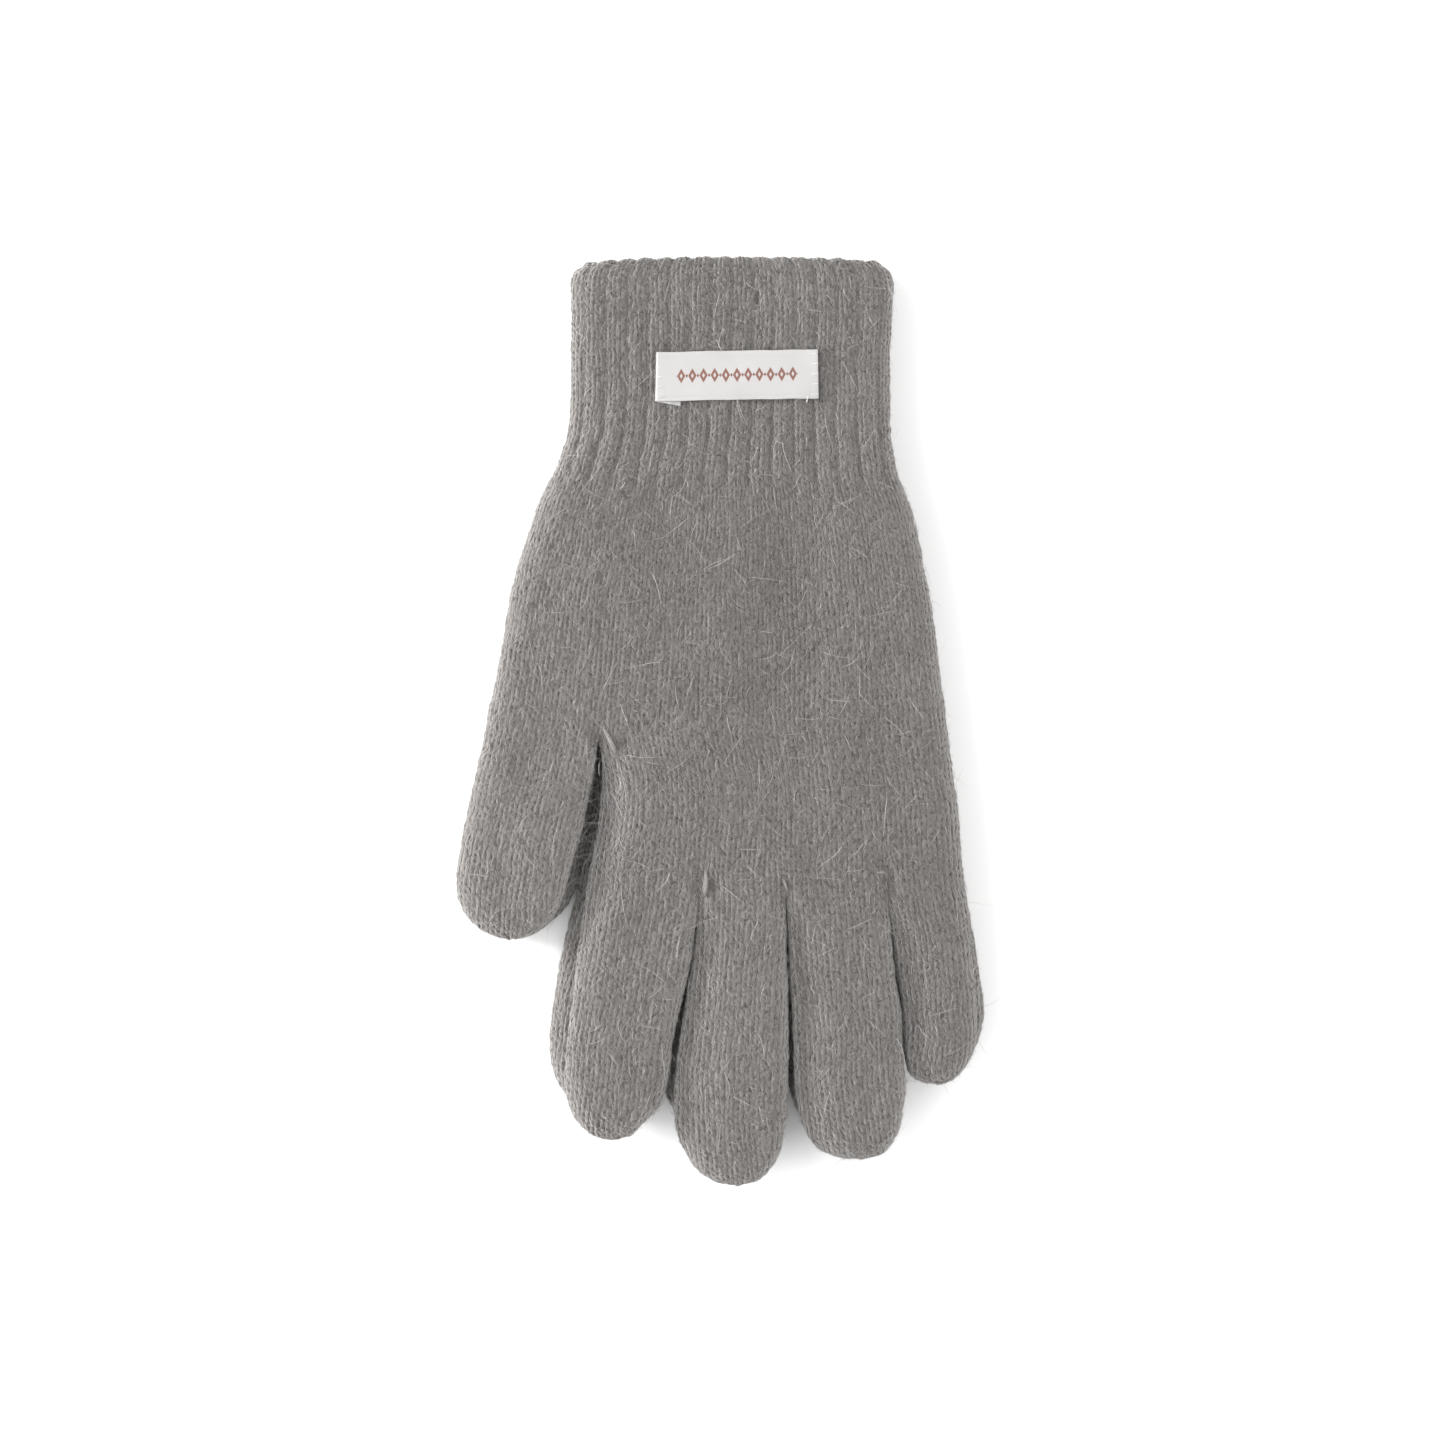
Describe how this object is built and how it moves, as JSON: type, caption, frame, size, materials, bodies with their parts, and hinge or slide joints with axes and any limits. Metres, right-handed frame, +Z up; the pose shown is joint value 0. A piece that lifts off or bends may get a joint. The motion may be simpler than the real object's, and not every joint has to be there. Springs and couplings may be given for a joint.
{
  "type": "knitted gloves",
  "caption": "Pair of five-finger knitted gloves with ribbed cuffs and a small woven label, laid palm to palm in a stack.",
  "frame": {"origin": "under the middle of the pair's box, on the surface the lower glove rests on", "axes": "+Z up, +Y towards the cuffs, fingers towards -Y, both thumbs towards -X"},
  "size_m": [0.1308, 0.2296, 0.0181],
  "materials": {
    "knit": "fine wool-blend stockinette, matt, fuzzy",
    "rib": "two by one rib, matt, fuzzy",
    "elastic_yarn": "covered elastic thread",
    "label_satin": "woven satin, slightly glossy",
    "thread": "sewing thread",
    "darning_yarn": "loose yarn"
  },
  "bodies": {
    "lower_palm": {"lower_hand": "knit", "lower_crotch_stitches": "darning_yarn"},
    "lower_wrist": {"lower_cuff": "rib", "lower_cuff_elastic": "elastic_yarn", "lower_label": "label_satin", "lower_label_stitches": "thread"},
    "lower_thumb": {"lower_thumb": "knit"},
    "lower_index": {"lower_index_finger": "knit"},
    "lower_middle": {"lower_middle_finger": "knit"},
    "lower_ring": {"lower_ring_finger": "knit"},
    "lower_little": {"lower_little_finger": "knit"},
    "upper_palm": {"upper_hand": "knit", "upper_crotch_stitches": "darning_yarn"},
    "upper_wrist": {"upper_cuff": "rib", "upper_cuff_elastic": "elastic_yarn", "upper_label": "label_satin", "upper_label_stitches": "thread"},
    "upper_thumb": {"upper_thumb": "knit"},
    "upper_index": {"upper_index_finger": "knit"},
    "upper_middle": {"upper_middle_finger": "knit"},
    "upper_ring": {"upper_ring_finger": "knit"},
    "upper_little": {"upper_little_finger": "knit"}
  },
  "joints": [
    {"name": "lift_off", "type": "slide", "parent": "lower_palm", "child": "upper_palm", "axis": [0, 0, 1], "range_m": [0, 0.1]},
    {"name": "thumb_bend", "type": "hinge", "parent": "lower_palm", "child": "lower_thumb", "pos_m": [-0.0436, -0.00119, 0.0171], "axis": [-0.9853, 0.171, 0], "range_deg": [0, 45]},
    {"name": "index_bend", "type": "hinge", "parent": "lower_palm", "child": "lower_index", "pos_m": [-0.0196, -0.03815, 0.0171], "axis": [-1, 0, 0], "range_deg": [0, 60]},
    {"name": "middle_bend", "type": "hinge", "parent": "lower_palm", "child": "lower_middle", "pos_m": [0.0055, -0.03815, 0.0171], "axis": [-1, 0, 0], "range_deg": [0, 60]},
    {"name": "ring_bend", "type": "hinge", "parent": "lower_palm", "child": "lower_ring", "pos_m": [0.0284, -0.03815, 0.0171], "axis": [-1, 0, 0], "range_deg": [0, 60]},
    {"name": "little_bend", "type": "hinge", "parent": "lower_palm", "child": "lower_little", "pos_m": [0.0505, -0.03815, 0.0171], "axis": [-1, 0, 0], "range_deg": [0, 60]},
    {"name": "cuff_fold", "type": "hinge", "parent": "lower_palm", "child": "lower_wrist", "pos_m": [0.0012, 0.06015, 0.0171], "axis": [1, 0, 0], "range_deg": [0, 60]},
    {"name": "thumb_bend_upper", "type": "hinge", "parent": "upper_palm", "child": "upper_thumb", "pos_m": [-0.0436, -0.00119, 0.0171], "axis": [-0.9853, 0.171, 0], "range_deg": [0, 45]},
    {"name": "index_bend_upper", "type": "hinge", "parent": "upper_palm", "child": "upper_index", "pos_m": [-0.0196, -0.03815, 0.0171], "axis": [-1, 0, 0], "range_deg": [0, 60]},
    {"name": "middle_bend_upper", "type": "hinge", "parent": "upper_palm", "child": "upper_middle", "pos_m": [0.0055, -0.03815, 0.0171], "axis": [-1, 0, 0], "range_deg": [0, 60]},
    {"name": "ring_bend_upper", "type": "hinge", "parent": "upper_palm", "child": "upper_ring", "pos_m": [0.0284, -0.03815, 0.0171], "axis": [-1, 0, 0], "range_deg": [0, 60]},
    {"name": "little_bend_upper", "type": "hinge", "parent": "upper_palm", "child": "upper_little", "pos_m": [0.0505, -0.03815, 0.0171], "axis": [-1, 0, 0], "range_deg": [0, 60]},
    {"name": "cuff_fold_upper", "type": "hinge", "parent": "upper_palm", "child": "upper_wrist", "pos_m": [0.0012, 0.06015, 0.0171], "axis": [1, 0, 0], "range_deg": [0, 60]}
  ],
  "couplings": [
    {"joint": "thumb_bend_upper", "follows": "thumb_bend", "ratio": 1},
    {"joint": "index_bend_upper", "follows": "index_bend", "ratio": 1},
    {"joint": "middle_bend_upper", "follows": "middle_bend", "ratio": 1},
    {"joint": "ring_bend_upper", "follows": "ring_bend", "ratio": 1},
    {"joint": "little_bend_upper", "follows": "little_bend", "ratio": 1},
    {"joint": "cuff_fold_upper", "follows": "cuff_fold", "ratio": 1}
  ]
}
